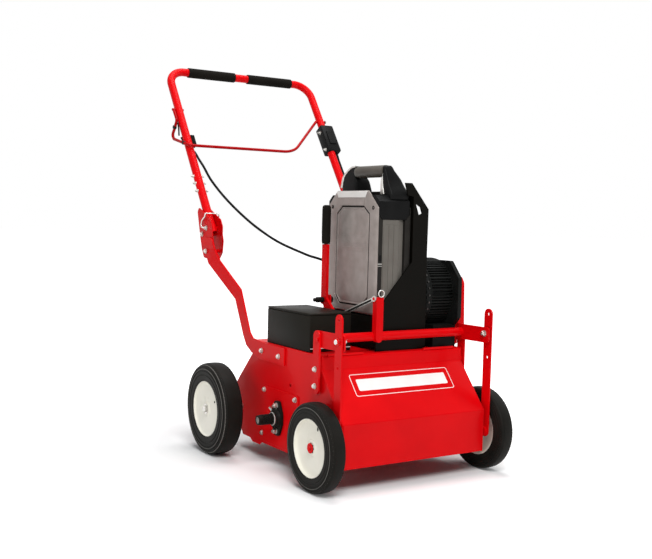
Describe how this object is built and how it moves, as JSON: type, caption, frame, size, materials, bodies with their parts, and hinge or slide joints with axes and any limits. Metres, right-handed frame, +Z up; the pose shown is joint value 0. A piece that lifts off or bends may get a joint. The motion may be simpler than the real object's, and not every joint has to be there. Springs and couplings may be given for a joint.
{
  "type": "electric lawn scarifier",
  "caption": "Walk-behind electric scarifier: knife rotor under a steel deck, lift-out battery, belt drive, depth lever, folding handle with a bail, solid wheels.",
  "frame": {"origin": "middle of the bounding box, on the ground", "axes": "+Z up, front panel towards -Y, handle towards +Y, control box on the -X side"},
  "size_m": [0.688, 1.0698, 1.1335],
  "materials": {
    "red_paint": "gloss",
    "black_plastic": "satin",
    "black_metal": "satin",
    "rubber": "matte",
    "tyre": "matte",
    "cream_paint": "gloss",
    "zinc": "satin",
    "battery_silver": "satin",
    "battery_grey": "satin",
    "bare_steel": "satin",
    "motor_black": "satin",
    "chrome": "polished"
  },
  "bodies": {
    "chassis": {"deck_shell": "red_paint", "side_plate_right": "red_paint", "side_plate_left": "red_paint", "bearing_plate_right": "red_paint", "bearing_plate_left": "red_paint", "pivot_bracket_right": "red_paint", "pivot_bracket_left": "red_paint", "motor_plate": "red_paint", "belt_guard": "red_paint", "lever_bracket": "red_paint", "lower_bar_right": "red_paint", "lower_bar_left": "red_paint", "fold_bracket_right": "red_paint", "fold_bracket_left": "red_paint", "bearing_flange_right": "black_metal", "bearing_flange_left": "black_metal", "controller_box": "black_metal", "controller_lid": "black_metal", "dock_frame": "black_metal", "motor_body": "motor_black", "motor_end_cap": "motor_black", "rear_axle": "zinc", "drive_belt": "rubber", "clutch_cable": "rubber", "lever_knob": "black_plastic"},
    "rotor": {"knife_reel": "bare_steel", "rotor_pulley": "bare_steel"},
    "motor_shaft": {"motor_pulley": "bare_steel"},
    "idler_lever": {"idler_arm": "zinc"},
    "idler_wheel": {"idler_pulley": "black_plastic"},
    "crank": {"crank_shaft": "red_paint", "crank_ring": "chrome"},
    "lever": {"depth_lever": "red_paint", "lever_grip": "black_plastic"},
    "lift": {"lift_link": "zinc"},
    "handle": {"upper_handle": "red_paint", "crossbar_grip_right": "rubber", "crossbar_grip_left": "rubber", "switch_box": "black_plastic", "switch_lead": "rubber"},
    "bail_arm": {"bail": "red_paint"},
    "lock_right": {"wire_lock_right": "chrome"},
    "lock_left": {"wire_lock_left": "chrome"},
    "battery": {"battery_case": "battery_grey", "battery_shell_right": "battery_silver", "battery_shell_left": "battery_silver", "battery_cap": "black_plastic", "battery_grip": "battery_grey"},
    "wheel_rear_right": {"tyre_rear_right": "tyre", "rim_rear_right": "cream_paint"},
    "wheel_front_right": {"tyre_front_right": "tyre", "rim_front_right": "cream_paint"},
    "arm_right": {"swing_arm_right": "red_paint"},
    "link_right": {"link_bar_right": "red_paint"},
    "wheel_rear_left": {"tyre_rear_left": "tyre", "rim_rear_left": "cream_paint"},
    "wheel_front_left": {"tyre_front_left": "tyre", "rim_front_left": "cream_paint"},
    "arm_left": {"swing_arm_left": "red_paint"},
    "link_left": {"link_bar_left": "red_paint"}
  },
  "joints": [
    {"name": "crank_turn", "type": "hinge", "parent": "chassis", "child": "crank", "pos_m": [0, -0.3766, 0.366], "axis": [-1, 0, 0], "range_deg": [0, 25]},
    {"name": "rear_wheel_right_spin", "type": "hinge", "parent": "chassis", "child": "wheel_rear_right", "pos_m": [-0.31, 0.0366, 0.127], "axis": [1, 0, 0], "continuous": true},
    {"name": "arm_right_swing", "type": "hinge", "parent": "chassis", "child": "arm_right", "pos_m": [-0.229, -0.2496, 0.112], "axis": [-1, 0, 0], "range_deg": [-1, 11]},
    {"name": "front_wheel_right_spin", "type": "hinge", "parent": "arm_right", "child": "wheel_front_right", "pos_m": [-0.262, -0.4246, 0.1103], "axis": [1, 0, 0], "continuous": true},
    {"name": "link_right_turn", "type": "hinge", "parent": "crank", "child": "link_right", "pos_m": [-0.234, -0.4706, 0.371], "axis": [-1, 0, 0], "range_deg": [-25, 1]},
    {"name": "rear_wheel_left_spin", "type": "hinge", "parent": "chassis", "child": "wheel_rear_left", "pos_m": [0.31, 0.0366, 0.127], "axis": [1, 0, 0], "continuous": true},
    {"name": "arm_left_swing", "type": "hinge", "parent": "chassis", "child": "arm_left", "pos_m": [0.229, -0.2496, 0.112], "axis": [-1, 0, 0], "range_deg": [-1, 11]},
    {"name": "front_wheel_left_spin", "type": "hinge", "parent": "arm_left", "child": "wheel_front_left", "pos_m": [0.262, -0.4246, 0.1103], "axis": [1, 0, 0], "continuous": true},
    {"name": "link_left_turn", "type": "hinge", "parent": "crank", "child": "link_left", "pos_m": [0.234, -0.4706, 0.371], "axis": [-1, 0, 0], "range_deg": [-25, 1]},
    {"name": "lever_turn", "type": "hinge", "parent": "chassis", "child": "lever", "pos_m": [-0.08, -0.1616, 0.442], "axis": [1, 0, 0], "range_deg": [-1, 35]},
    {"name": "lift_link_turn", "type": "hinge", "parent": "crank", "child": "lift", "pos_m": [-0.0741, -0.3866, 0.463], "axis": [-1, 0, 0], "range_deg": [-19, 1]},
    {"name": "rotor_spin", "type": "hinge", "parent": "chassis", "child": "rotor", "pos_m": [0, -0.1796, 0.132], "axis": [1, 0, 0], "continuous": true},
    {"name": "motor_spin", "type": "hinge", "parent": "chassis", "child": "motor_shaft", "pos_m": [0.241, -0.2686, 0.465], "axis": [1, 0, 0], "continuous": true},
    {"name": "handle_fold", "type": "hinge", "parent": "chassis", "child": "handle", "pos_m": [0, 0.1774, 0.626], "axis": [1, 0, 0], "range_deg": [0, 80]},
    {"name": "wire_lock_right_turn", "type": "hinge", "parent": "handle", "child": "lock_right", "pos_m": [-0.259, 0.1774, 0.626], "axis": [1, 0, 0], "range_deg": [0, 25]},
    {"name": "wire_lock_left_turn", "type": "hinge", "parent": "handle", "child": "lock_left", "pos_m": [0.259, 0.1774, 0.626], "axis": [1, 0, 0], "range_deg": [0, 25]},
    {"name": "bail_swing", "type": "hinge", "parent": "handle", "child": "bail_arm", "pos_m": [0, 0.4274, 0.987], "axis": [-1, 0, 0], "range_deg": [0, 150], "stiffness_Nm_per_rad": 0.15, "springref_deg": -22.92},
    {"name": "idler_swing", "type": "hinge", "parent": "chassis", "child": "idler_lever", "pos_m": [0.232, -0.2306, 0.33], "axis": [1, 0, 0], "range_deg": [-1, 16]},
    {"name": "idler_wheel_spin", "type": "hinge", "parent": "idler_lever", "child": "idler_wheel", "pos_m": [0.241, -0.2086, 0.272], "axis": [1, 0, 0], "continuous": true},
    {"name": "battery_lift", "type": "slide", "parent": "chassis", "child": "battery", "axis": [0, 0, 1], "range_m": [0, 0.13]}
  ],
  "couplings": [
    {"joint": "arm_right_swing", "follows": "crank_turn", "ratio": 0.4105},
    {"joint": "link_right_turn", "follows": "crank_turn", "ratio": -0.942},
    {"joint": "arm_left_swing", "follows": "crank_turn", "ratio": 0.4105},
    {"joint": "link_left_turn", "follows": "crank_turn", "ratio": -0.942},
    {"joint": "lever_turn", "follows": "crank_turn", "ratio": 1.355},
    {"joint": "lift_link_turn", "follows": "crank_turn", "ratio": -0.7},
    {"joint": "motor_spin", "follows": "rotor_spin", "ratio": 1.2121},
    {"joint": "idler_swing", "follows": "bail_swing", "ratio": 0.1}
  ]
}
